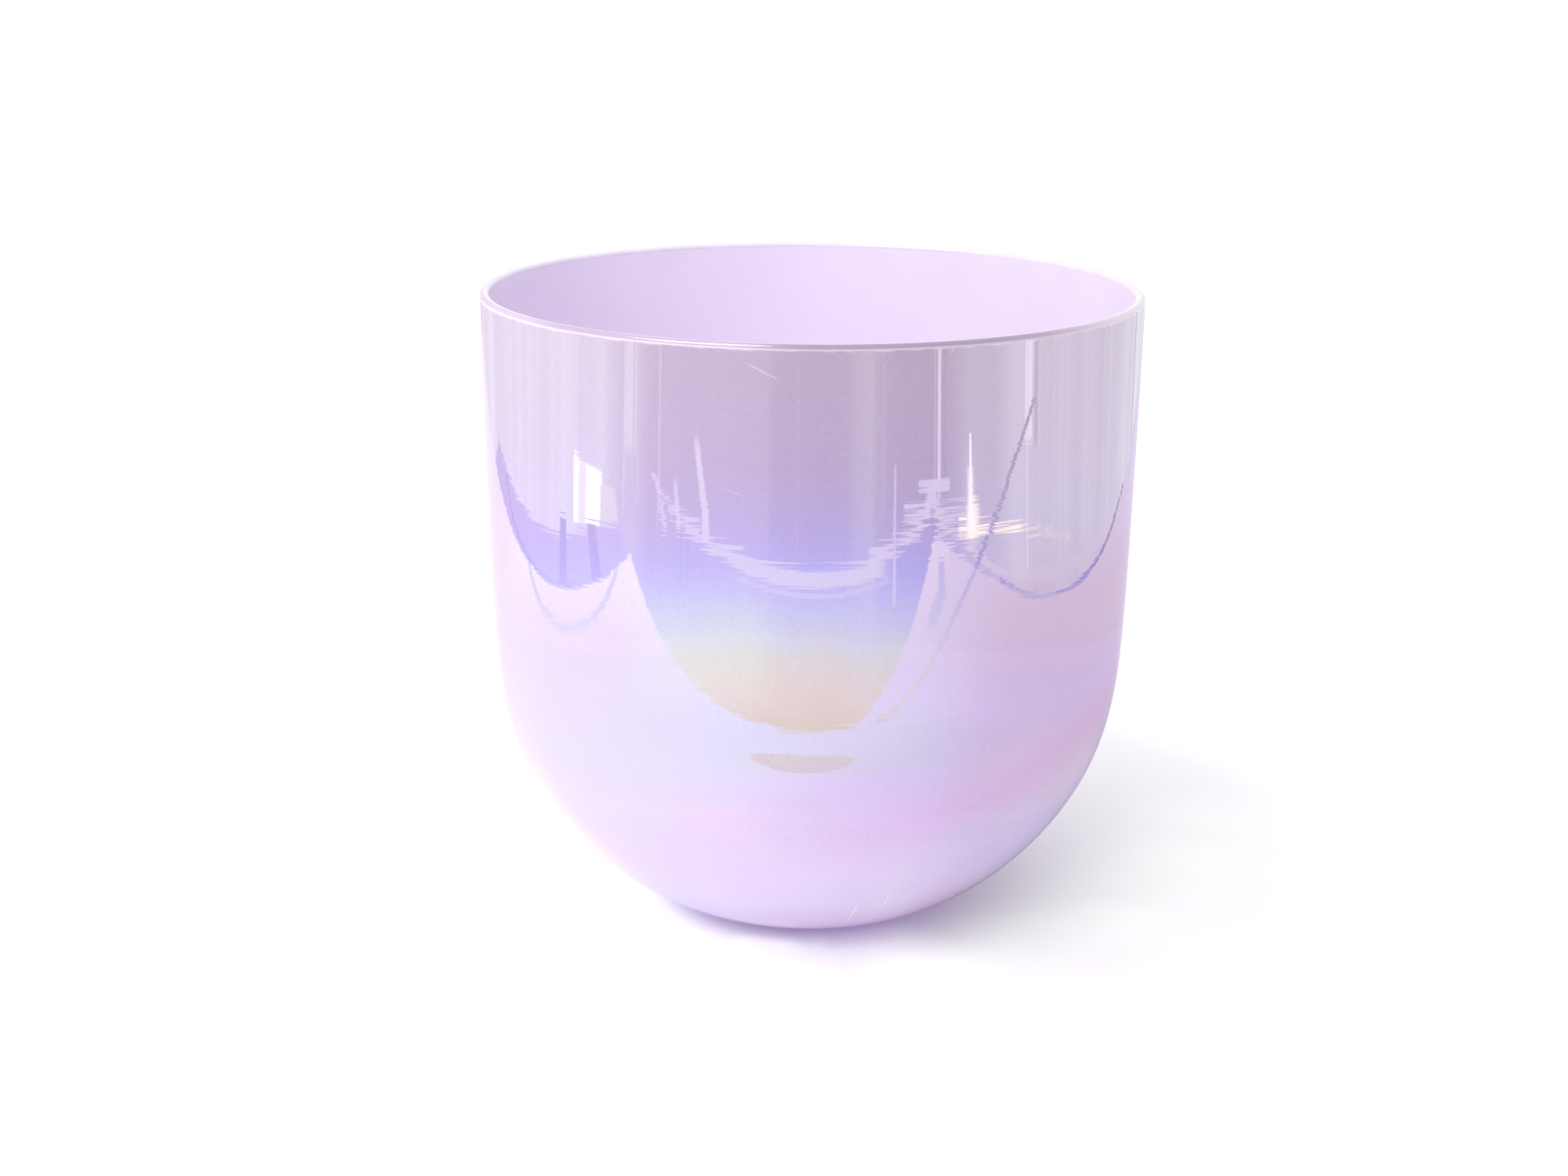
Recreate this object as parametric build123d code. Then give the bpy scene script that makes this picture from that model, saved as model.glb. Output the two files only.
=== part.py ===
from build123d import *
import os

# Fused-quartz singing bowl, mouth up, standing on a flat surface.
# Units are millimetres. +Z is up and is the bowl's axis of revolution.
# The origin is the centre of the small flat that the bowl stands on.
#
# Three bonded pieces, each a solid of revolution:
#   quartz_shell     the spun fused-quartz vessel, with its fully rounded bare lip
#   colour_lining    the opaque coat bonded to the inside of the vessel
#   iridescent_coat  the interference film on the outside of the vessel
# Both coats are let into the quartz: the lining is flush at the lip, the film at the lip
# and at the standing flat.

# ---- driving dimensions ----
RIM_RADIUS = 127.0  # outside radius at the lip
HEIGHT = 249.0  # standing flat to the top of the lip
WALL = 4.0  # finished wall, quartz and coats together
FILM = 0.35  # outside film, far thicker than the real one so that it can be meshed
LINING = 0.35  # inside coat; the real coat is about 0.05 mm
FOOT_RADIUS = 25.4  # flat that the bowl stands on

LIP_RADIUS = WALL / 2  # the lip is a full round
LIP_BASE = HEIGHT - LIP_RADIUS  # height where the wall meets the rounded lip
LINING_DEPTH = WALL - LINING  # from the outside surface to the back of the lining

# Outside profile below the lip, as (share of the rim radius, share of the height).
# The wall leans in slightly, then turns through one smooth round bottom into the flat.
STATIONS = [
    (0.99811, 0.87241),
    (0.99559, 0.74482),
    (0.99213, 0.61723),
    (0.98906, 0.54068),
    (0.98591, 0.48964),
    (0.98102, 0.43867),
    (0.97220, 0.38783),
    (0.95638, 0.33747),
    (0.93039, 0.28819),
    (0.89291, 0.24088),
    (0.84449, 0.19627),
    (0.78677, 0.15462),
    (0.72094, 0.11622),
    (0.64756, 0.08161),
    (0.56661, 0.05169),
    (0.47827, 0.02783),
    (0.38386, 0.01120),
    (0.28551, 0.00217),
]
# Profile directions: down and slightly inward at the lip, level toward the axis at the flat.
END_TANGENTS = [(-0.0068, 0, -1), (-1, 0, 0)]
SKIN_SPANS = 48  # equal lengths of the outside profile between points of an inner skin


# ---- corners of the section, each at a depth into the wall from the outside ----
def top_point(depth):
    """Where the wall meets the lip."""
    return Vector(RIM_RADIUS - depth, 0, LIP_BASE)


def foot_point(depth):
    """Above the edge of the standing flat."""
    return Vector(FOOT_RADIUS, 0, depth)


def axis_point(depth):
    """On the bowl's axis."""
    return Vector(0, 0, depth)


# ---- profiles, all running from the lip down to the edge of the standing flat ----
def outside_profile():
    stations = [Vector(r * RIM_RADIUS, 0, z * HEIGHT) for r, z in STATIONS]
    return Spline([top_point(0)] + stations + [foot_point(0)], tangents=END_TANGENTS)


def skin(outside, depth):
    """The outside profile moved into the wall by depth."""
    points = [top_point(depth)]
    for i in range(1, SKIN_SPANS):
        share = i / SKIN_SPANS
        along = outside.tangent_at(share)
        inward = Vector(along.Z, 0, -along.X)  # the tangent turned toward the inside
        points.append(outside.position_at(share) + inward * depth)
    points.append(foot_point(depth))
    return Spline(points, tangents=END_TANGENTS)


def turned(edges):
    """A solid of revolution about Z from a closed loop of edges in the XZ plane."""
    return revolve(Face(Wire(edges)), Axis.Z, 360)


outside = outside_profile()
film_back = skin(outside, FILM)  # film against quartz
lining_back = skin(outside, LINING_DEPTH)  # quartz against lining
inside = skin(outside, WALL)  # the surface seen inside the bowl


# ---- pieces ----
def iridescent_coat():
    return turned([
        outside,
        Line(foot_point(0), foot_point(FILM)),
        film_back,
        Line(top_point(FILM), top_point(0)),
    ])


def colour_lining():
    return turned([
        inside,
        Line(foot_point(WALL), axis_point(WALL)),
        Line(axis_point(WALL), axis_point(LINING_DEPTH)),
        Line(axis_point(LINING_DEPTH), foot_point(LINING_DEPTH)),
        lining_back,
        Line(top_point(LINING_DEPTH), top_point(WALL)),
    ])


def quartz_shell():
    lip_crown = Vector(RIM_RADIUS - LIP_RADIUS, 0, HEIGHT)
    return turned([
        ThreePointArc(top_point(0), lip_crown, top_point(WALL)),
        Line(top_point(WALL), top_point(LINING_DEPTH)),
        lining_back,
        Line(foot_point(LINING_DEPTH), axis_point(LINING_DEPTH)),
        Line(axis_point(LINING_DEPTH), axis_point(0)),
        Line(axis_point(0), foot_point(0)),
        Line(foot_point(0), foot_point(FILM)),
        film_back,
        Line(top_point(FILM), top_point(0)),
    ])


os.makedirs("parts", exist_ok=True)
for piece in (quartz_shell, colour_lining, iridescent_coat):
    export_step(piece(), f"parts/{piece.__name__}.step")
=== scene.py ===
"""A fused-quartz singing bowl, 254 mm across, standing mouth up about the Z axis on a pale floor.

The front faces -Y and the right is +X. Three bonded pieces are turned from one outside profile:
  iridescent_outer   mirror-gloss interference film over lavender, outside
  lavender_inner     opaque satin coat inside
  quartz_vessel      clear quartz, seen at the round lip and at the standing flat
Around them are the floor, the room that the film mirrors, the lights and the camera.
"""

import functools
import math
import operator

import bmesh
import bpy
import numpy as np
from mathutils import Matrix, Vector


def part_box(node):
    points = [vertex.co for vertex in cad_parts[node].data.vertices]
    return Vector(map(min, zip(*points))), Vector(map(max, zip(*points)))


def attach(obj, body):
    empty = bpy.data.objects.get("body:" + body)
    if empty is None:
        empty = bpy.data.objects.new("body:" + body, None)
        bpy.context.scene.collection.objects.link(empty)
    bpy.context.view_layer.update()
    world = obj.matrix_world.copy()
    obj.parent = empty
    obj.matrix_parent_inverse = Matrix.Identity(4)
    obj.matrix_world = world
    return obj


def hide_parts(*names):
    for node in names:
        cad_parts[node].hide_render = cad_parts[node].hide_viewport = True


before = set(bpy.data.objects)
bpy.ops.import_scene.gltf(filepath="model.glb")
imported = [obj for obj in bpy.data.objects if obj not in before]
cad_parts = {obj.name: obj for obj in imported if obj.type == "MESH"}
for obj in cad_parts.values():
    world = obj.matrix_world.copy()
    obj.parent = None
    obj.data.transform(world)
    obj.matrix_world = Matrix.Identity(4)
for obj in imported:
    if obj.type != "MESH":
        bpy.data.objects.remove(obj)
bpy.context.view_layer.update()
scene = bpy.context.scene

# ---- sizes, from the CAD pieces (metres) ----
RIM_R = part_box("iridescent_coat")[1].x  # outside radius at the lip
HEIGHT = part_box("quartz_shell")[1].z  # top of the lip
LIP_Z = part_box("iridescent_coat")[1].z  # where the wall meets the rounded lip
LIP_R = HEIGHT - LIP_Z
WALL = 2 * LIP_R
COAT = WALL - (RIM_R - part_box("colour_lining")[1].x)  # film and lining are equally thick
FOOT_R = 0.2 * RIM_R
LAP = 0.00003  # the quartz runs this far into the coats, so that no two surfaces coincide
AROUND = 384  # vertices in each ring
LIP_STEPS = 28

# Outside profile below the lip: share of the rim radius, share of the height.
STATIONS = [
    (0.99811, 0.87241), (0.99559, 0.74482), (0.99213, 0.61723), (0.98906, 0.54068),
    (0.98591, 0.48964), (0.98102, 0.43867), (0.97220, 0.38783), (0.95638, 0.33747),
    (0.93039, 0.28819), (0.89291, 0.24088), (0.84449, 0.19627), (0.78677, 0.15462),
    (0.72094, 0.11622), (0.64756, 0.08161), (0.56661, 0.05169), (0.47827, 0.02783),
    (0.38386, 0.01120), (0.28551, 0.00217),
]
PROFILE = [(RIM_R, LIP_Z)] + [(r * RIM_R, z * HEIGHT) for r, z in STATIONS] + [(FOOT_R, 0.0)]
START_DIRECTION = (-0.0068, -1)  # down the wall, drawing in slightly
END_DIRECTION = (-1, 0)  # level, towards the axis


# ---- pieces ----
def smooth_curve(points, start, end, count):
    """count evenly spaced points on the cubic spline through points, and their outward normals."""
    points = np.array(points, float)
    n = len(points)
    lengths = np.concatenate([[0], np.cumsum(np.hypot(*np.diff(points, axis=0).T))])
    gaps = np.diff(lengths)
    matrix = np.zeros((n, n))
    target = np.zeros((n, 2))
    matrix[0, 0] = matrix[-1, -1] = 1
    target[0], target[-1] = (np.array(d, float) / np.hypot(*d) for d in (start, end))
    for i in range(1, n - 1):
        before, after = gaps[i - 1], gaps[i]
        matrix[i, i - 1 : i + 2] = 1 / before, 2 / before + 2 / after, 1 / after
        target[i] = 3 * (
            (points[i] - points[i - 1]) / before**2 + (points[i + 1] - points[i]) / after**2
        )
    slopes = np.linalg.solve(matrix, target)

    at = np.linspace(0, lengths[-1], count)
    i = np.clip(np.searchsorted(lengths, at) - 1, 0, n - 2)
    t = ((at - lengths[i]) / gaps[i])[:, None]
    gap = gaps[i][:, None]
    place = (
        (1 + 2 * t) * (1 - t) ** 2 * points[i]
        + t * (1 - t) ** 2 * gap * slopes[i]
        + t**2 * (3 - 2 * t) * points[i + 1]
        + t**2 * (t - 1) * gap * slopes[i + 1]
    )
    along = (
        6 * t * (t - 1) / gap * points[i]
        + (1 - 4 * t + 3 * t**2) * slopes[i]
        + 6 * t * (1 - t) / gap * points[i + 1]
        + t * (3 * t - 2) * slopes[i + 1]
    )
    normal = np.stack([-along[:, 1], along[:, 0]], 1)
    normal /= np.linalg.norm(normal, axis=1)[:, None]
    return place, normal


def skin(depth, count):
    """The outside profile, lip to standing flat, moved into the wall by depth."""
    place, normal = smooth_curve(PROFILE, START_DIRECTION, END_DIRECTION, count)
    place = place - normal * depth
    place[0] = (RIM_R - depth, LIP_Z)
    place[-1] = (FOOT_R, depth)
    return [tuple(point) for point in place]


def add_object(name, data):
    obj = bpy.data.objects.new(name, data)
    scene.collection.objects.link(obj)
    return obj


def turned(name, loop):
    """Turns a closed (radius, height) loop about Z. A point on the axis becomes one vertex."""
    bm = bmesh.new()
    rings = []
    for r, z in loop:
        if r < 1e-7:
            rings.append([bm.verts.new((0, 0, z))])
            continue
        angles = [2 * math.pi * k / AROUND for k in range(AROUND)]
        rings.append([bm.verts.new((r * math.sin(a), -r * math.cos(a), z)) for a in angles])
    for ring, following in zip(rings, rings[1:] + rings[:1]):
        if len(ring) == 1 and len(following) == 1:
            continue
        for k in range(AROUND):
            m = (k + 1) % AROUND
            if len(ring) == 1:
                bm.faces.new((ring[0], following[k], following[m]))
            elif len(following) == 1:
                bm.faces.new((ring[m], ring[k], following[0]))
            else:
                bm.faces.new((ring[k], following[k], following[m], ring[m]))
    bmesh.ops.recalc_face_normals(bm, faces=bm.faces)
    mesh = bpy.data.meshes.new(name)
    bm.to_mesh(mesh)
    bm.free()
    mesh.shade_smooth()
    mesh.set_sharp_from_angle(angle=math.radians(40))
    return add_object(name, mesh)


def make_film():
    return turned("iridescent_outer", skin(0.0, 161) + skin(COAT, 61)[::-1])


def make_lining():
    """Inside wall, inside floor, back of the floor, back of the wall."""
    floor = [(FOOT_R * (1 - k / 10), WALL) for k in range(1, 11)]
    floor_back = [(FOOT_R * k / 4, WALL - COAT) for k in range(4)]
    wall_back = skin(WALL - COAT, 61)[::-1]
    return turned("lavender_inner", skin(WALL, 141) + floor + floor_back + wall_back)


def make_quartz():
    """Round lip, face against the lining, standing flat, face against the film."""
    lip = []
    for k in range(LIP_STEPS + 1):
        a = math.pi * k / LIP_STEPS
        lip.append((RIM_R - LIP_R + LIP_R * math.cos(a), LIP_Z + LIP_R * math.sin(a)))
    inside = WALL - COAT + LAP
    return turned(
        "quartz_vessel",
        lip
        + [(RIM_R - WALL + COAT - LAP, LIP_Z)]
        + skin(inside, 61)[1:]
        + [(FOOT_R * k / 4, inside) for k in (3, 2, 1, 0)]
        + [(FOOT_R * k / 10, 0.0) for k in range(11)]
        + skin(COAT - LAP, 61)[::-1][:-1]
        + [(RIM_R - COAT + LAP, LIP_Z)],
    )


film = make_film()
lining = make_lining()
quartz = make_quartz()


# ---- writing patterns as arithmetic ----
class Value:
    """An output in the current node tree, so that a pattern can be written as arithmetic."""

    tree = None

    def __init__(self, socket):
        self.socket = socket

    def __add__(self, other):
        return maths("ADD", self, other)

    __radd__ = __add__

    def __sub__(self, other):
        return maths("SUBTRACT", self, other)

    def __rsub__(self, other):
        return maths("SUBTRACT", other, self)

    def __mul__(self, other):
        return maths("MULTIPLY", self, other)

    __rmul__ = __mul__

    def __truediv__(self, other):
        return maths("DIVIDE", self, other)


def put(value, socket):
    if isinstance(value, Value):
        Value.tree.links.new(value.socket, socket)
    elif isinstance(value, tuple) and socket.type == "RGBA":
        socket.default_value = (*value, 1.0)
    else:
        socket.default_value = value


def node(kind, inputs=(), **settings):
    """A new node, with inputs a dict of values by socket name or number."""
    made = Value.tree.nodes.new(kind)
    for key, setting in settings.items():
        setattr(made, key, setting)
    for key, value in dict(inputs).items():
        put(value, made.inputs[key])
    return made


def value_of(kind, inputs=(), output=0, **settings):
    return Value(node(kind, inputs, **settings).outputs[output])


def maths(operation, *args, clamp=False):
    return value_of(
        "ShaderNodeMath", dict(enumerate(args)), operation=operation, use_clamp=clamp
    )


def low(a, b):
    return maths("MINIMUM", a, b)


def high(a, b):
    return maths("MAXIMUM", a, b)


def union(masks):
    return functools.reduce(high, masks)


def absolute(x):
    return maths("ABSOLUTE", x)


def hypot(a, b):
    return maths("SQRT", a * a + b * b)


def turn_of(x, y):
    """Radians round the Z axis, 0 at the front and positive to the right."""
    return maths("ARCTAN2", x, y * -1)


def bearing(x, y):
    """turn_of in degrees."""
    return turn_of(x, y) * (180 / math.pi)


def step(x, start, end):
    """Eases from 0 where x is start to 1 where x is end; start may be the larger."""
    return value_of(
        "ShaderNodeMapRange", {0: x, 1: start, 2: end},
        interpolation_type="SMOOTHSTEP", clamp=True,
    )


def band(x, lo, hi, soft):
    """1 between lo and hi, easing to 0 over soft on both sides."""
    return step(x, lo - soft, lo + soft) * step(x, hi + soft, hi - soft)


def oval(x, y, centre, half, core):
    """1 in the core (a share of the half sizes) of an ellipse, easing to 0 at its edge."""
    return step(hypot((x - centre[0]) / half[0], (y - centre[1]) / half[1]), 1.0, core)


def join(x, y, z=0.0):
    return value_of("ShaderNodeCombineXYZ", {0: x, 1: y, 2: z})


def separate(vector):
    return [Value(part) for part in node("ShaderNodeSeparateXYZ", {0: vector}).outputs]


def noise(at, scale, detail=2.0, rough=0.5):
    return value_of(
        "ShaderNodeTexNoise",
        {"Vector": at, "Scale": scale, "Detail": detail, "Roughness": rough},
        noise_dimensions="3D",
    )


def mix(factor, a, b, blend="MIX"):
    return value_of(
        "ShaderNodeMix", {0: factor, 6: a, 7: b}, output=2,
        data_type="RGBA", blend_type=blend, clamp_factor=True,
    )


def layered(base, layers, blend="MIX"):
    """base under (mask, colour) layers, laid on in order."""
    for mask, colour in layers:
        base = mix(mask, base, colour, blend)
    return base


def ramp(x, stops):
    """Colour along x from (position, (r, g, b)) stops, positions 0 to 1."""
    made = node("ShaderNodeValToRGB", {0: x})
    made.color_ramp.interpolation = "LINEAR"
    elements = made.color_ramp.elements
    while len(elements) > 1:
        elements.remove(elements[-1])
    elements[0].position, elements[0].color = stops[0][0], (*stops[0][1], 1)
    for position, colour in stops[1:]:
        elements.new(position).color = (*colour, 1)
    return Value(made.outputs[0])


def grey(v):
    return (v, v, v)


def bump(height, distance, normal=None):
    made = node("ShaderNodeBump", {"Strength": 1.0, "Distance": distance, "Height": height})
    if normal is not None:
        put(normal, made.inputs["Normal"])
    return Value(made.outputs[0])


def mix_shaders(factor, a, b):
    return value_of("ShaderNodeMixShader", {0: factor, 1: a, 2: b})


def emission(colour, strength):
    return value_of("ShaderNodeEmission", {"Color": colour, "Strength": strength})


def start_tree(owner):
    owner.use_nodes = True
    owner.node_tree.nodes.clear()
    Value.tree = owner.node_tree


def start_material(name):
    made = bpy.data.materials.new(name)
    start_tree(made)
    return made


def surface(shader, kind="ShaderNodeOutputMaterial"):
    node(kind, {"Surface": shader})


def object_point():
    """The point on the piece, as a vector and as x, y, z."""
    point = value_of("ShaderNodeTexCoord", output="Object")
    return point, *separate(point)


def scratches(u, v, angle, seed, keep):
    """Sparse hairlines, 1 on a line. u and v are metres over the surface."""
    cos, sin = math.cos(angle), math.sin(angle)
    along = u * cos + v * sin
    across = v * cos - u * sin
    wander = (noise(join(along, across, seed), scale=18.0, detail=1.0) - 0.5) * 0.010
    lines = noise(join(along * 14.0, (across + wander) * 900.0, seed), scale=1.0, detail=0.0)
    where = noise(join(u, v, seed + 3.7), scale=26.0)
    return step(lines, keep, keep + 0.02) * step(where, 0.60, 0.68)


# ---- light levels ----
SKY = 0.85  # soft light from the horizon
SKY_TOP = 0.2  # how much more comes from overhead
SKY_SIDE = 0.2  # from the left over the right
SKY_BACK = 0.05  # from the front over the back
KEY = 16.0  # watts, softbox above on the left
GLOW = 0.55  # the floor's own glow
ROOM = 1.0  # the room in mirror rays

# ---- iridescent film ----
# What the film mirrors at each height, as a share of the light that falls on it. It thickens
# downward, so its colour runs silver, yellow, orange, violet, blue, green, pink and round again.
# What it doesn't mirror reaches the lavender beneath, which so takes the opposite colour.
FILM = [  # height in mm, mirrored share
    (0, (0.15, 0.14, 0.15)), (14, (0.18, 0.12, 0.14)), (28, (0.13, 0.17, 0.11)),
    (42, (0.07, 0.14, 0.19)), (54, (0.15, 0.07, 0.19)), (66, (0.21, 0.07, 0.12)),
    (76, (0.20, 0.13, 0.09)), (86, (0.185, 0.17, 0.175)), (98, (0.06, 0.14, 0.18)),
    (108, (0.02, 0.09, 0.23)), (120, (0.00, 0.06, 0.25)), (132, (0.00, 0.025, 0.235)),
    (144, (0.05, 0.00, 0.165)), (152, (0.115, 0.035, 0.050)), (160, (0.165, 0.105, 0.015)),
    (168, (0.21, 0.17, 0.00)), (176, (0.25, 0.22, 0.04)), (184, (0.25, 0.24, 0.12)),
    (194, (0.25, 0.25, 0.20)), (208, (0.24, 0.25, 0.27)), (249, (0.23, 0.24, 0.31)),
]
FILM_SPAN = 0.25  # height covered by the colour ramps
FILM_STEPS = 30
LAVENDER = (0.79, 0.70, 0.93)  # film and coat together, where the film mirrors white
MIRRORED = 1.15  # brightness of that white
FRONT_LIGHT = 1.42  # light on the front wall, beside which LAVENDER is stated
FILM_IOR = 3.0
FILM_F0 = ((FILM_IOR - 1) / (FILM_IOR + 1)) ** 2


def share_at(height):
    """The mirrored share at a height in mm, eased between the rows of FILM."""
    for (h0, share0), (h1, share1) in zip(FILM, FILM[1:]):
        if height <= h1:
            t = min(max((height - h0) / (h1 - h0), 0.0), 1.0)
            t = 0.5 * t + 0.5 * t * t * (3 - 2 * t)
            return tuple(a + (b - a) * t for a, b in zip(share0, share1))
    return FILM[-1][1]


def specular_tint(share):
    return tuple(min(1.0, part / FILM_F0) for part in share)


def coat_tint(share):
    """Colour of the coat beneath, such that film and coat together come to LAVENDER."""
    reach = FRONT_LIGHT * (1 - 1.1 * min(max(share), FILM_F0))
    return tuple(
        min(1.0, (whole - MIRRORED * part) / reach) for whole, part in zip(LAVENDER, share)
    )


def film_patches(turn, z, wander):
    """(mask, tint) for areas that depart from the level bands: some are colour in the coat, others
    are painted shade, a painted sheen, a painted pink highlight and a painted reflection of the
    floor's shadow.
    """
    rise = 0.0645 + 0.0315 * high(turn, 0.0)
    rose = step(absolute(z + wander * 0.5 - rise), 0.016, 0.0) * step(turn, -0.25, 0.5)
    pale = step(absolute(z + wander * 0.5 - rise + 0.021), 0.014, 0.0) * step(turn, 0.1, 0.6)
    # painted highlight: a pink patch low on the left of the front
    painted_pink_highlight = step(
        hypot((turn + 0.27) / 0.20, (z + wander * 0.4 - 0.0735) / 0.013), 1.0, 0.0
    )
    # painted sheen: lighter and greener on the left, the side the light comes from
    painted_left_sheen = (
        step(turn, -0.06, -0.20) * step(turn, -0.62, -0.42)
        * step(z, 0.108, 0.132) * step(z, 0.172, 0.152)
    )
    # painted shade: the right side, away from the light, is darker; the purple patch lies within
    # it
    shaded_right_side = step(turn, 0.22, 0.62) * step(z, 0.070, 0.110) * step(z, 0.205, 0.150)
    purple = shaded_right_side * step(turn, 1.50, 1.15) * step(z, 0.190, 0.150)
    shaded_far_right = step(turn, 1.05, 1.30) * step(z, 0.060, 0.085) * step(z, 0.190, 0.150)
    sand = (
        step(turn, -0.45, -0.15) * step(turn, 0.50, 0.30)
        * step(z, 0.092, 0.100) * step(z, 0.126, 0.110)
    )
    return [
        # a rose band that climbs to the right, with a pale one under it
        (rose * step(turn, 1.5, 1.0), (1.03, 0.90, 0.97)),
        (pale, (1.03, 1.05, 1.0)),
        (painted_pink_highlight, (1.12, 0.98, 1.0)),
        (painted_left_sheen, (1.02, 1.10, 1.0)),
        (shaded_right_side, (0.93, 0.95, 0.89)),
        (purple, (0.99, 0.87, 0.97)),
        # violet ovals right of the middle
        (oval(turn, z, centre=(0.36, 0.099), half=(0.34, 0.022), core=0.2), (0.94, 0.95, 0.98)),
        (oval(turn, z, centre=(0.12, 0.082), half=(0.44, 0.025), core=0.2), (0.97, 0.93, 0.97)),
        # painted shade at the lower left, on the far right and towards the foot, and at the lower
        # right a painted purple reflection of the floor's shadow
        (step(turn, -0.30, -0.60) * step(z, 0.080, 0.055), (0.93, 0.965, 0.98)),
        (shaded_far_right, (0.90, 0.93, 0.92)),
        (oval(turn, z, centre=(0.72, 0.038), half=(0.42, 0.030), core=0.3), (1.05, 0.93, 1.03)),
        (step(z, 0.036, 0.018), (0.92, 0.92, 0.93)),
        # sand colour in the middle, and the upper far right
        (sand, (0.95, 1.01, 0.86)),
        (step(turn, 1.05, 1.30) * step(z, 0.150, 0.175), (1.01, 1.07, 1.0)),
    ]


def film_material():
    made = start_material("iridescent_film")
    point, x, y, z = object_point()
    turn = turn_of(x, y)
    round_wall = turn * RIM_R
    round_point = join(x, y, z * 0.45)
    # the film's thickness varies a little, so its bands wander by a few millimetres
    wander = (noise(round_point, scale=7.0, rough=0.45) - 0.5) * 0.026
    streaks = (noise(join(x, y, z * 0.06), scale=55.0) - 0.5) * 0.007
    geometry = node("ShaderNodeNewGeometry")
    dot = value_of(
        "ShaderNodeVectorMath",
        {0: Value(geometry.outputs["Normal"]), 1: Value(geometry.outputs["Incoming"])},
        output="Value", operation="DOT_PRODUCT",
    )
    facing = absolute(dot)
    inside_cos = maths("SQRT", 1.0 - (1.0 - facing * facing) * 0.2)
    # seen aslant, a band lies where the film is thicker
    tilt_shift = (1.0 - inside_cos) * 0.20
    height = (z + wander + streaks + tilt_shift) / FILM_SPAN
    shares = [
        (k / FILM_STEPS, share_at(1000 * FILM_SPAN * k / FILM_STEPS))
        for k in range(FILM_STEPS + 1)
    ]
    mirrored = ramp(height, [(h, specular_tint(share)) for h, share in shares])
    passed = ramp(height, [(h, coat_tint(share)) for h, share in shares])
    # the coat under the film is sprayed, so it is faintly uneven
    mottle = noise(round_point, scale=16.0, detail=3.0, rough=0.55)
    speckle = noise(point, scale=1150.0, detail=1.0)
    shade = 1.0 + (mottle - 0.5) * 0.05 + (speckle - 0.5) * 0.16
    coat = mix(1.0, passed, join(shade, shade, shade), "MULTIPLY")
    coat = layered(coat, film_patches(turn, z, wander), "MULTIPLY")

    marks = high(
        scratches(round_wall, z, angle=0.9, seed=1.3, keep=0.80),
        high(
            scratches(round_wall, z, angle=-0.35, seed=5.1, keep=0.81),
            scratches(round_wall, z, angle=1.45, seed=9.2, keep=0.81),
        ),
    )
    lip_wear = step(z, LIP_Z - 0.0007, LIP_Z - 0.0001) * step(
        noise(join(x, y, z * 3.0), scale=260.0, detail=3.0), 0.44, 0.62
    )
    foot_wear = step(z, 0.0012, 0.0001) * step(noise(point, scale=220.0, detail=3.0), 0.40, 0.58)
    wear = high(lip_wear * 0.7, foot_wear)
    coat = layered(
        coat, [(marks * 0.35, (0.95, 0.93, 0.98)), (wear * 0.6, (0.86, 0.82, 0.93))]
    )
    # gloss, with faint smears
    smudge = noise(join(x, y, z * 0.8), scale=22.0, detail=4.0, rough=0.6)
    rough = 0.012 + step(smudge, 0.45, 0.75) * 0.035 + marks * 0.22 + wear * 0.25
    # faint turning rings left in the spun quartz fray the edges of whatever the wall mirrors
    rings = noise(join(0.0, 0.0, z), scale=330.0, rough=0.55) + 0.35 * noise(
        join(x * 0.10, y * 0.10, z), scale=620.0, detail=1.0
    )
    rings = rings * (
        0.32
        + 0.68 * step(z, 0.171, 0.180) * step(z, 0.203, 0.189)
        + 0.45 * step(z, 0.158, 0.142)
    )
    swell = noise(join(x, y, z * 0.5), scale=9.0, detail=1.0)
    normal = bump(rings, distance=0.000024)
    normal = bump(swell, distance=0.00012, normal=normal)
    normal = bump(marks * -1, distance=0.000004, normal=normal)
    surface(value_of("ShaderNodeBsdfPrincipled", {
        "Base Color": coat,
        "Specular Tint": mirrored,
        "Roughness": rough,
        "Normal": normal,
        "IOR": FILM_IOR,
    }))
    return made


# ---- lining ----
LINING_TONES = [
    (0.0, (0.850, 0.770, 0.935)), (0.5, (0.870, 0.795, 0.950)), (1.0, (0.890, 0.820, 0.960)),
]


def lining_material():
    made = start_material("lavender_lining")
    point, x, y, z = object_point()
    cloud = noise(join(x, y, z * 0.6), scale=14.0, detail=3.0)
    grain = noise(point, scale=900.0)
    tone = ramp(step(cloud, 0.3, 0.7) * 0.8 + (grain - 0.5) * 0.4, LINING_TONES)
    # rings left by the coat being laid on a turning bowl
    sweep = noise(join(x * 0.15, y * 0.15, z), scale=240.0)
    rubbed = step(z, LIP_Z - 0.0022, LIP_Z - 0.0002) * step(
        noise(join(x, y, z * 3.0), scale=140.0, detail=3.0), 0.45, 0.62
    )
    tone = layered(tone, [
        (step(sweep, 0.45, 0.75) * 0.10, (0.86, 0.76, 0.96)),
        (rubbed * 0.5, (0.88, 0.83, 0.95)),
    ])
    # painted light: the lining is painted a little paler across the back, as if more light fell
    # there
    back = step(y * 0.92 - x * 0.40, 0.060, 0.120)
    tone = mix(back, tone, (1.05, 1.05, 1.03), "MULTIPLY")
    surface(value_of("ShaderNodeBsdfPrincipled", {
        "Base Color": tone,
        "Roughness": 0.46 + (cloud - 0.5) * 0.16 + (grain - 0.5) * 0.12 - rubbed * 0.1,
        "Normal": bump(sweep, distance=0.000012, normal=bump(grain, distance=0.000020)),
        "IOR": 1.45,
        "Specular IOR Level": 0.35,
    }))
    return made


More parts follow.
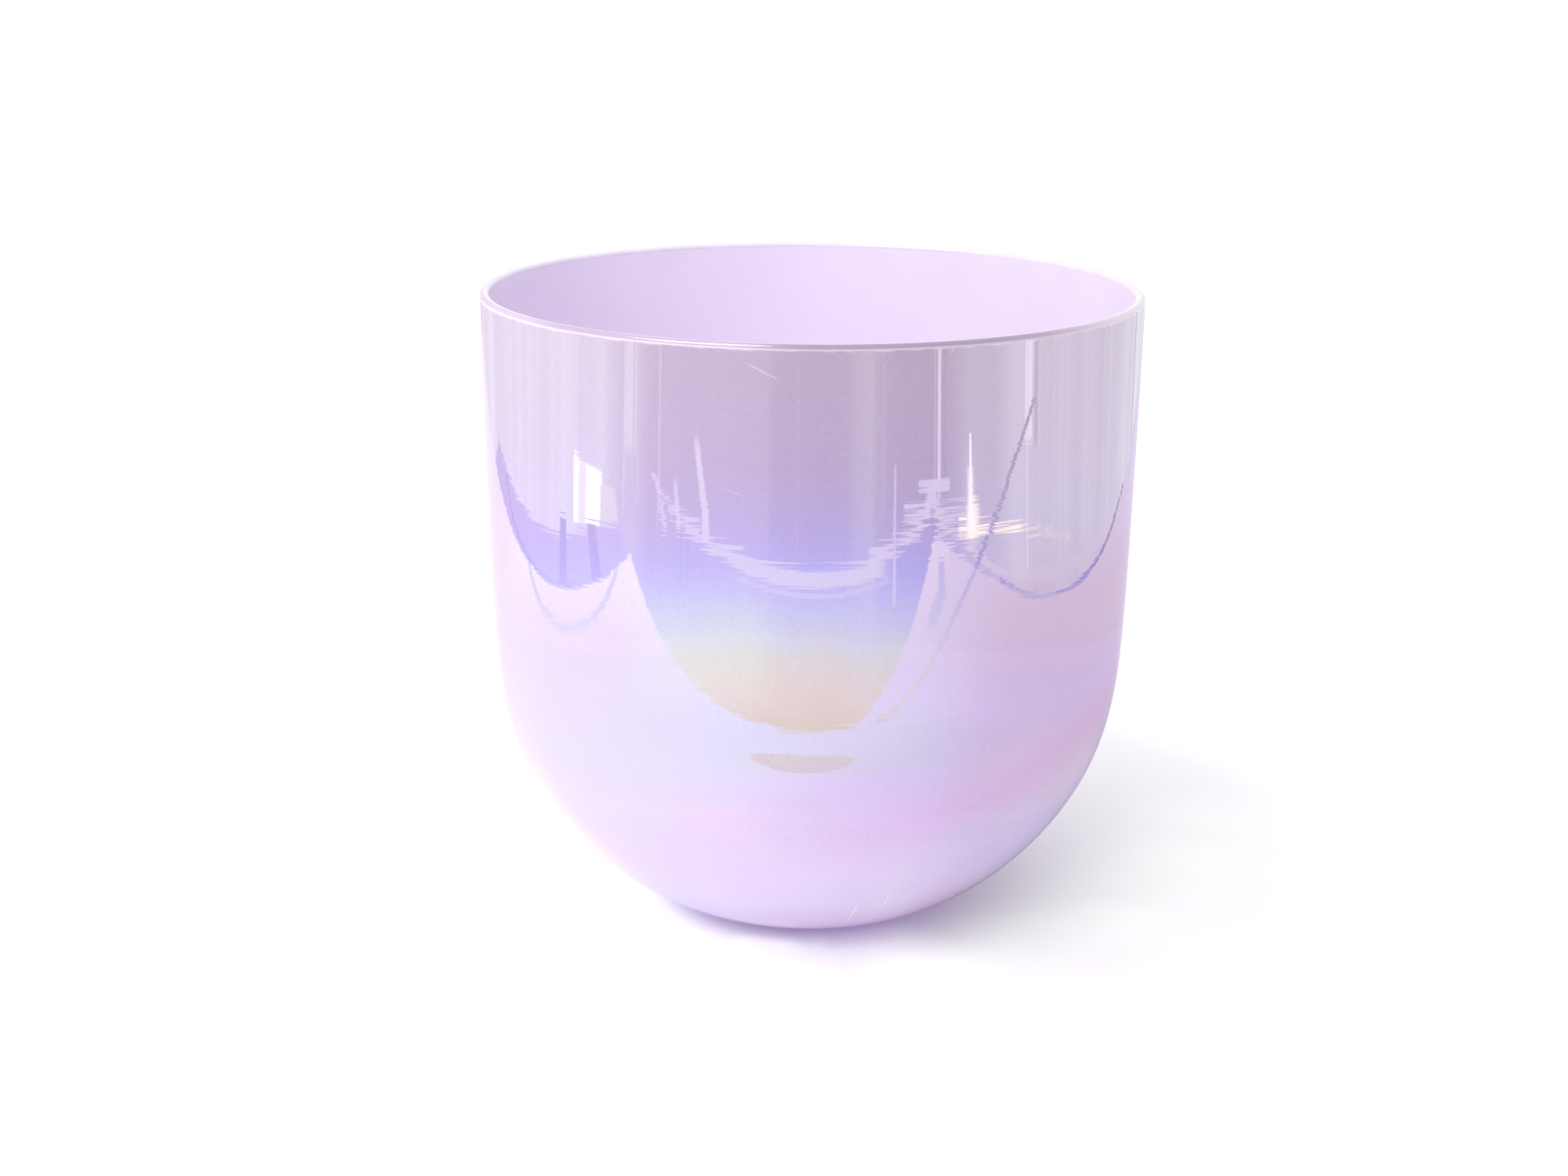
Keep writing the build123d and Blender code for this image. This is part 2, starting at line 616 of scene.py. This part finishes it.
# ---- quartz ----
def quartz_tint(x, y, z, polish):
    """The colours in the clear lip: lavender inside and over the crown. On the outside a darker
    band of painted shade, standing for the darker room the lip mirrors, over a line where the lip
    meets the film, painted pale as a highlight on the left and darker as shade on the right."""
    turn = turn_of(x, y)
    edge = RIM_R - LIP_R
    outside = step(hypot(x, y), edge + 0.0001, edge + 0.0006) * step(z, 0.10, 0.12)
    lip_shade_band = outside * step(z, HEIGHT - LIP_R + 0.0004, HEIGHT - LIP_R + 0.0008)
    tint = mix(step(polish, 0.35, 0.7), (0.90, 0.83, 0.965), (0.86, 0.78, 0.945))
    # painted highlight and shade on the outer line where the lip meets the film: pale on the left,
    # darker on the right
    outer_line_shade_right = mix(step(turn, 0.60, 0.95), (0.62, 0.54, 0.64), (0.77, 0.69, 0.79))
    outer_line_light_and_shade = mix(step(turn, -0.40, 0.0), (0.93, 0.85, 0.965), outer_line_shade_right)
    # painted shade: a darker band on the outside below the crown, darkest on the right, standing
    # for the darker room the lip mirrors
    lip_shade_tint = mix(step(turn, -0.35, 0.0), (0.54, 0.43, 0.58), (0.37, 0.30, 0.41))
    lip_shade_band = lip_shade_band * (0.75 + 0.25 * step(turn, -0.45, 0.05)) * step(turn, 1.15, 0.35)
    tint = layered(tint, [(outside, outer_line_light_and_shade), (lip_shade_band, lip_shade_tint)])
    # painted shade: the whole lip is darker on the left
    left = step(turn, -0.15, -0.35) * step(turn, -0.95, -0.75)
    tint = mix(left, tint, (0.86, 0.82, 0.88), "MULTIPLY")
    return mix(step(z, 0.0020, 0.0008), tint, (0.93, 0.90, 0.96))


def quartz_material():
    made = start_material("fused_quartz")
    point, x, y, z = object_point()
    polish = noise(join(x, y, z * 2.0), scale=60.0, detail=3.0)
    bloom = step(noise(point, scale=120.0, detail=3.0), 0.55, 0.75)
    tint = quartz_tint(x, y, z, polish)
    fine = noise(point, scale=700.0)
    body = value_of("ShaderNodeBsdfPrincipled", {
        "Base Color": tint,
        # the standing flat is ground dull
        "Roughness": 0.03 + bloom * 0.05 + step(z, 0.0004, 0.0) * 0.30,
        "Normal": bump(fine, distance=0.000004, normal=bump(polish, distance=0.00006)),
        "IOR": 1.458,
        "Transmission Weight": 0.12,
    })
    # lamps shine through it
    is_shadow = value_of("ShaderNodeLightPath", output="Is Shadow Ray")
    clear = value_of("ShaderNodeBsdfTransparent", {"Color": tint})
    surface(mix_shaders(is_shadow, body, clear))
    return made


for obj, made, node_name, slot_name in (
    (film, film_material(), "iridescent_coat", "iridescent_film"),
    (lining, lining_material(), "colour_lining", "lavender_lining"),
    (quartz, quartz_material(), "quartz_shell", "fused_quartz"),
):
    obj.data.materials.append(made)
    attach(obj, "root")
    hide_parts(node_name)


# ---- the room that the film mirrors ----
# Only mirror rays see it. Everything else meets a plain white floor and soft light.
ROOM_BROAD = [  # bearing in degrees, colour
    (-180, (0.95, 0.96, 0.98)), (-158, (1.00, 0.98, 1.02)), (-92, (1.00, 1.03, 1.02)),
    (-84, (0.93, 0.97, 0.96)), (-79, (0.78, 0.80, 0.82)), (-71, (0.90, 0.93, 0.92)),
    (-64, (0.52, 0.52, 0.56)), (-58, (0.46, 0.46, 0.50)), (-52, (0.30, 0.27, 0.32)),
    (-40, (0.25, 0.22, 0.28)), (-26, (0.28, 0.23, 0.28)), (-13.5, (0.24, 0.19, 0.22)),
    (-12.5, (0.07, 0.05, 0.09)), (4, (0.01, 0.01, 0.03)), (11, (0.06, 0.06, 0.08)),
    (12.5, (0.17, 0.19, 0.16)), (18.2, (0.29, 0.33, 0.28)), (19.0, (0.15, 0.15, 0.15)),
    (26, (0.02, 0.02, 0.03)), (38, (0.03, 0.02, 0.04)), (43, (0.12, 0.11, 0.12)),
    (50, (0.43, 0.46, 0.45)), (60, (0.52, 0.54, 0.54)), (66, (0.78, 0.80, 0.78)),
    (90, (0.82, 0.84, 0.82)), (120, (0.95, 0.97, 0.96)), (140, (1.04, 1.10, 1.06)),
    (160, (1.04, 1.10, 1.02)), (180, (0.95, 0.96, 0.98)),
]
ROOM_UPRIGHTS = [  # bearing, half width, nearest it comes, brightness
    (40.0, 0.50, 0.84, 1.25), (41.6, 0.50, 0.84, 0.0), (38.6, 0.30, 0.84, 0.35),
    (73.0, 1.50, 0.98, 1.65), (76.2, 0.60, 0.97, 0.35), (72.6, 0.35, 0.62, 1.30),
    (-60.2, 1.60, 0.95, 0.98), (-57.6, 0.35, 0.95, 0.95), (-61.8, 0.30, 0.80, 0.85),
    (-56.6, 0.30, 0.80, 0.62), (-49.0, 0.35, 0.75, 0.60), (-155.0, 0.90, 0.50, 0.45),
    (141.0, 0.60, 0.50, 0.40), (22.0, 0.20, 0.80, 0.28), (-4.5, 0.15, 0.60, 0.20),
]


def room(around, away=None):
    """Colour of the room beyond the table at bearing around, and on the floor at distance away."""
    broad = ramp((around + 180.0) / 360.0, [((d + 180.0) / 360.0, c) for d, c in ROOM_BROAD])
    # soft upright folds, strongest at the sides
    folds = noise(join(around * 0.13, 0.3, 0.7), scale=1.0, detail=5.0, rough=0.70) - 0.5
    side = step(absolute(around - 2.0), 40.0, 66.0) * step(absolute(around), 175.0, 135.0)
    level = 1.0 + folds * (0.18 + side * 0.80)
    colour = mix(1.0, broad, join(level, level, level), "MULTIPLY")
    for at, width, near, brightness in ROOM_UPRIGHTS:
        line = step(absolute(around - at), width * 1.25, width * 0.75)
        if away is not None:
            line = line * step(away, near - 0.03, near + 0.03)
        colour = mix(line * 0.92, colour, grey(brightness))
    return colour


# ---- drawing on the floor: spot is its (x, y) as node values, lengths in metres ----
def stroke(spot, a, b, width, soft):
    """1 within width of the line from a to b."""
    x, y = spot
    dx, dy = b[0] - a[0], b[1] - a[1]
    t = maths(
        "DIVIDE", (x - a[0]) * dx + (y - a[1]) * dy, dx * dx + dy * dy, clamp=True
    )
    distance = hypot(x - a[0] - t * dx, y - a[1] - t * dy)
    return step(distance, width + soft, max(width - soft, 0.0))


def strokes(spot, paths, soft):
    """The strokes of all paths. A path is a start (x, y), then (x, y, half width) points."""
    return union([
        stroke(spot, a[:2], b[:2], b[2], soft)
        for path in paths for a, b in zip(path, path[1:])
    ])


def panel(spot, corners, soft):
    """1 inside the convex four-sided panel, corners in order, anticlockwise."""
    x, y = spot
    sides = []
    for (ax, ay), (bx, by) in zip(corners, corners[1:] + corners[:1]):
        dx, dy = bx - ax, by - ay
        length = math.hypot(dx, dy)
        distance = (y - ay) * (dx / length) - (x - ax) * (dy / length)
        sides.append(step(distance, -soft, soft))
    return functools.reduce(operator.mul, sides)


PALE_STRIP = [  # paths round the table
    [(-0.690, -0.556), (-0.554, -0.567, 0.008), (-0.485, -0.590, 0.013),
     (-0.356, -0.602, 0.018)],
    [(0.220, -0.645), (0.400, -0.634, 0.018), (0.455, -0.640, 0.019), (0.540, -0.680, 0.021)],
    [(0.510, -0.640), (0.497, -0.578, 0.017), (0.525, -0.500, 0.013), (0.560, -0.290, 0.009),
     (0.600, -0.120, 0.010), (0.617, 0.060, 0.014), (0.608, 0.330, 0.016),
     (0.625, 0.520, 0.014)],
]
SPURS = [  # strokes that stand out from the strip: start, end, half width, brightness
    ((-0.585, -0.795), (-0.435, -0.665), 0.014, 1.05),
    ((-0.435, -0.665), (-0.390, -0.605), 0.015, 1.00),
    ((-0.585, -0.625), (-0.500, -0.560), 0.010, 0.90),
    ((-0.600, -0.535), (-0.540, -0.515), 0.009, 0.90),
    ((0.25, -0.53), (0.40, -0.83), 0.0055, 0.70),
    ((0.395, -0.700), (0.470, -0.645), 0.014, 0.95),
    ((0.600, -0.535), (0.520, -0.600), 0.014, 0.95),
    ((0.490, -0.720), (0.590, -0.640), 0.016, 0.92),
]
DARK_GAPS = [  # on the left
    ((-0.480, -0.556), (-0.372, -0.432)), ((-0.445, -0.560), (-0.372, -0.470)),
]
WINDOW = [(-0.91, -0.12), (-0.82, -0.29), (-0.70, -0.24), (-0.72, -0.10)]
WINDOW_FRONT = [(-0.80, -0.26), (-0.76, -0.35), (-0.66, -0.33), (-0.68, -0.26)]
GLINTS = [  # front right: start, end, half width, sparkle noise where it starts and is full
    ((0.545, -0.500), (0.628, -0.385), 0.012, 0.38, 0.52),
    ((0.628, -0.385), (0.680, -0.262), 0.012, 0.40, 0.53),
    ((0.680, -0.262), (0.700, -0.150), 0.009, 0.46, 0.58),
    ((0.700, -0.150), (0.684, 0.030), 0.007, 0.52, 0.64),
    ((0.575, -0.455), (0.625, -0.495), 0.027, 0.42, 0.54),
    ((0.580, -0.420), (0.600, -0.180), 0.026, 0.57, 0.68),
]
DARK_LINES = [
    # right edge of the table
    [(0.577, 0.520), (0.570, 0.158, 0.0062), (0.564, -0.026, 0.0062),
     (0.547, -0.200, 0.0058), (0.542, -0.290, 0.0055)],
    # a cord lying across it
    [(1.100, -0.285), (0.985, -0.320, 0.0100), (0.815, -0.366, 0.0090),
     (0.620, -0.387, 0.0082), (0.519, -0.395, 0.0072), (0.392, -0.397, 0.0062),
     (0.226, -0.364, 0.0058), (0.120, -0.345, 0.0050)],
]
SHADOW_EDGE = [  # start, end, half width, glow
    ((0.045, -0.080), (0.080, -0.062), 0.017, 0.42),
    ((0.080, -0.062), (0.125, -0.030), 0.022, 0.35),
    ((0.125, -0.030), (0.163, 0.028), 0.028, 0.26),
    ((0.163, 0.028), (0.176, 0.062), 0.030, 0.16),
    ((-0.024, -0.056), (-0.008, -0.060), 0.004, 0.22),
]


def room_floor(spot, around, away, lines, left_line):
    """Colour of the floor beyond the table, in mirror rays."""
    x, y = spot
    colour = room(around, away)
    back_left = step(around, -105.0, -130.0) * step(away, 0.95, 0.60)
    colour = mix(back_left, colour, (0.90, 0.83, 0.97), "MULTIPLY")
    # pale strip round the table: a double arch in front, then the sides
    arch = -0.645 + 0.30 * (x + 0.03) * (x + 0.03)
    arches = high(
        step(absolute(y - arch - 0.004), 0.021, 0.015) * band(x, -0.40, 0.25, 0.03),
        step(absolute(y - arch - 0.036), 0.007, 0.003) * band(x, -0.26, 0.26, 0.03) * 0.6,
    )
    colour = layered(colour, [
        (arches * 0.9, (0.95, 0.92, 1.0)),
        (strokes(spot, PALE_STRIP, soft=0.003) * 0.9, (0.95, 0.90, 1.0)),
    ])
    for a, b, width, brightness in SPURS:
        colour = mix(stroke(spot, a, b, width, 0.003) * 0.92, colour, grey(brightness))
    for a, b in DARK_GAPS:
        colour = mix(stroke(spot, a, b, 0.004, 0.002) * 0.7, colour, (0.05, 0.04, 0.10))
    runner = band(x, -0.68, -0.57, 0.004) * band(y, -0.33, 0.60, 0.01)
    bars = band(x, -0.73, -0.57, 0.004) * high(
        band(y, -0.052, -0.014, 0.004), band(y, -0.214, -0.172, 0.004)
    )
    window_bar = panel(spot, WINDOW, soft=0.004) * band(around, -80.6, -76.8, 0.5)
    sparkle = noise(join(x, y), scale=380.0, detail=3.0, rough=0.75)
    glint = union([
        stroke(spot, a, b, width, width * 0.7) * step(sparkle, start, full)
        for a, b, width, start, full in GLINTS
    ])
    spike = high(
        stroke(spot, (0.580, -0.470), (0.785, -0.642), 0.0055, 0.003),
        stroke(spot, (0.580, -0.470), (0.695, -0.568), 0.0150, 0.010)
        * step(sparkle, 0.46, 0.56),
    )
    haze = stroke(spot, (0.605, -0.495), (0.715, -0.592), 0.034, 0.030)
    return layered(colour, [
        # runner beside the table on the left, with two bars across it
        (runner, (0.42, 0.36, 0.80)),
        (bars, (0.03, 0.02, 0.16)),
        # window light on the left
        (panel(spot, WINDOW, soft=0.006), grey(5.0)),
        (window_bar, (1.5, 1.4, 1.9)),
        (panel(spot, WINDOW_FRONT, soft=0.004) * 0.9, (1.0, 1.12, 0.62)),
        # sparkle at the front right
        (glint, (3.6, 2.9, 1.7)),
        (spike * step(sparkle, 0.42, 0.54), grey(3.6)),
        (haze * step(sparkle, 0.57, 0.66), grey(3.4)),
        (lines, (0.0, 0.0, 0.0)),
        (left_line * 0.92, (0.03, 0.02, 0.28)),
    ])


def table_tone(spot, position, around, away, table, mirror, lines, left_line):
    """Colour of the table: plain white, with darker parts that only mirror rays see, among them
    painted shade on its right side and painted shadow where the bowl's shadow falls.
    """
    x, y = spot
    cloth = noise(position, scale=40.0, detail=3.0)
    flap = (
        step(y + 0.365 + 0.50 * high(x - 0.20, 0.0), 0.004, -0.004)
        * step(y, -0.346, -0.352)
        * table
    )
    # painted shadow, seen in mirror rays: the table's right side, the bowl's shadow beside it and
    # the back right
    mirrored_table_shade = high(
        step(x, 0.15, 0.45),
        step(absolute(around - 105.0), 78.0, 45.0) * step(away, 0.45, 0.26),
    )
    mirrored_table_shade = high(mirrored_table_shade, step(around, 112.0, 130.0) * step(around, 182.0, 166.0))
    hook = high(
        stroke(spot, (0.335, -0.440), (0.395, -0.458), 0.015, 0.005),
        stroke(spot, (0.395, -0.458), (0.430, -0.500), 0.012, 0.005),
    )
    front_oval = step(hypot((x + 0.010) / 0.073, (y + 0.281) / 0.018), 1.05, 0.95)
    # two arcs bowed to the right, left of the bowl
    bow = step(absolute(hypot(x + 0.823, y + 0.060) - 0.340), 0.0095, 0.0055) * band(
        y, -0.29, 0.19, 0.02
    )
    bow = high(
        bow,
        step(absolute(hypot(x + 0.835, y + 0.070) - 0.366), 0.003, 0.001)
        * band(y, -0.20, 0.10, 0.04)
        * 0.5,
    )
    return layered(mix(cloth, grey(0.90), grey(0.93)), [
        # painted shade in mirror rays: darker to the right and in the bowl's shadow; darker at the
        # back left
        (mirror * step(x, -0.18, 0.12), (0.68, 0.42, 0.74)),
        (mirror * mirrored_table_shade, (0.48, 0.38, 0.54)),
        (mirror * step(around, -105.0, -135.0), (0.70, 0.60, 0.80)),
        (mirror * flap * 0.8, (0.60, 0.53, 0.64)),
        (mirror * lines, (0.0, 0.0, 0.04)),
        (mirror * left_line * 0.92, (0.04, 0.03, 0.28)),
        (mirror * hook, (0.04, 0.05, 0.20)),
        (mirror * front_oval, (0.08, 0.07, 0.10)),
        (mirror * bow * 0.95, (0.12, 0.26, 0.44)),
    ])


def floor_glow(spot, around, away):
    """A little glow keeps the shadows pale: most where the light comes from, least in the
    bowl's shadow, and lavender right under the bowl."""
    off_shadow = absolute(around - 115.0)
    off_shadow = low(off_shadow, 360.0 - off_shadow)
    lit_side = 1.0 - step(off_shadow, 95.0, 62.0) * step(away, 0.42, 0.20)
    fill = (
        0.13
        + 0.22 * step(away, 0.10, 0.30)
        + 0.42 * lit_side * step(away, 0.046, 0.066)
        + 0.40
        * step(around, 35.0, -40.0)
        * step(around, -175.0, -150.0)
        * step(away, 0.052, 0.070)
        * step(away, 0.20, 0.10)
    )
    under = step(away, 0.085, 0.035)
    # the near edge of the shadow, which is drawn in towards the bowl
    edge = union([stroke(spot, a, b, width, width) * glow for a, b, width, glow in SHADOW_EDGE])
    edge = edge - 0.12 * stroke(spot, (0.012, -0.059), (0.029, -0.054), 0.005, 0.005)
    return join(
        fill + under * 0.10 + edge * 0.88,
        fill + under * 0.02 + edge,
        fill + under * 0.20 + edge * 0.72,
    )


def floor_material():
    made = start_material("studio_floor")
    geometry = node("ShaderNodeNewGeometry")
    position = Value(geometry.outputs["Position"])
    x, y = spot = separate(position)[:2]
    mirror = value_of("ShaderNodeLightPath", output="Is Glossy Ray")
    around = bearing(x, y)
    away = hypot(x, y)
    front = -0.35 - 0.59 * high(x - 0.08, 0.0)
    right = 0.566 - 0.325 * low(y, 0.0) * low(y, 0.0)
    table = (
        step(x, -0.572, -0.568)
        * step(y - front, -0.002, 0.002)
        * step(right - x, -0.002, 0.002)
    )
    lines = strokes(spot, DARK_LINES, soft=0.0014)
    left_line = high(
        stroke(spot, (-0.567, -0.250), (-0.572, 0.100), 0.0055, 0.002),
        high(
            stroke(spot, (-0.572, 0.100), (-0.600, 0.337), 0.0055, 0.002),
            stroke(spot, (-0.600, 0.337), (-0.660, 0.450), 0.0055, 0.002),
        ),
    )
    tone = table_tone(spot, position, around, away, table, mirror, lines, left_line)
    white = value_of("ShaderNodeBsdfDiffuse", {"Color": tone})
    lamp = emission(floor_glow(spot, around, away), GLOW)
    lit = value_of("ShaderNodeAddShader", {0: white, 1: lamp})
    beyond = emission(room_floor(spot, around, away, lines, left_line), ROOM)
    seen = mix_shaders(mirror * (1.0 - table), lit, beyond)
    # clear from below
    clear = value_of("ShaderNodeBsdfTransparent")
    surface(mix_shaders(Value(geometry.outputs["Backfacing"]), seen, clear))
    made.cycles.emission_sampling = "NONE"
    return made


def make_floor():
    made = floor_material()
    bm = bmesh.new()
    bmesh.ops.create_grid(bm, x_segments=8, y_segments=8, size=9.0)
    mesh = bpy.data.meshes.new("studio_floor")
    bm.to_mesh(mesh)
    bm.free()
    mesh.materials.append(made)
    floor = add_object("studio_floor", mesh)
    floor.location.z = -0.0002  # just clear of the standing flat


def make_world():
    """Soft light all round, a little brighter from the left; mirror rays see the room."""
    world = bpy.data.worlds.new("studio")
    scene.world = world
    start_tree(world)
    dx, dy, dz = separate(value_of("ShaderNodeTexCoord", output="Generated"))
    rays = node("ShaderNodeLightPath")
    soft = SKY - SKY_SIDE * dx - SKY_BACK * dy + SKY_TOP * high(dz, 0.0) * high(dz, 0.0)
    soft_colour = join(soft, soft * 0.985, soft * 1.02)
    # a bright skylight overhead on the left, caught only by the rounded crown of the lip
    skylight = (
        band(dx, -0.62, -0.145, 0.02) * band(dy, -0.34, 0.10, 0.04) * step(dz, 0.5, 0.6)
    )
    room_colour = layered(
        room(bearing(dx, dy)), [(step(dz, 0.0, 0.9), grey(0.9)), (skylight, grey(11.0))]
    )
    room_colour = mix(1.0, room_colour, grey(ROOM), "MULTIPLY")
    colour = mix(Value(rays.outputs["Is Glossy Ray"]), soft_colour, room_colour)
    colour = mix(Value(rays.outputs["Is Camera Ray"]), colour, grey(1.3))
    background = value_of("ShaderNodeBackground", {"Color": colour})
    surface(background, "ShaderNodeOutputWorld")
    world.cycles.sampling_method = "NONE"


def make_key_light():
    place = (-0.78, -0.68, 1.75)
    target = (0.0, 0.0, 0.10)
    light = bpy.data.lights.new("key_softbox", "AREA")
    light.shape = "RECTANGLE"
    light.size = light.size_y = 0.9
    light.energy = KEY
    light.color = (1.0, 0.985, 0.97)
    key = add_object("key_softbox", light)
    dx, dy, dz = (b - a for a, b in zip(place, target))
    key.location = place
    key.rotation_euler = (math.atan2(math.hypot(dx, dy), -dz), 0, math.atan2(-dx, dy))


def make_camera():
    lens = bpy.data.cameras.new("camera")
    lens.lens = 50.0
    lens.sensor_width = 36.0
    lens.clip_start = 0.01
    camera = add_object("camera", lens)
    camera.location = (-0.010, -0.8361, 0.3785)
    camera.rotation_mode = "XYZ"
    camera.rotation_euler = (math.radians(90 - 16.713), 0.0, 0.0)  # looking down
    camera.rotation_euler.rotate_axis("Z", math.radians(0.36))  # slight roll
    scene.camera = camera


make_floor()
make_world()
make_key_light()
make_camera()

scene.view_settings.view_transform = "Standard"
scene.view_settings.look = "None"
scene.view_settings.exposure = 0.0
scene.view_settings.gamma = 1.0
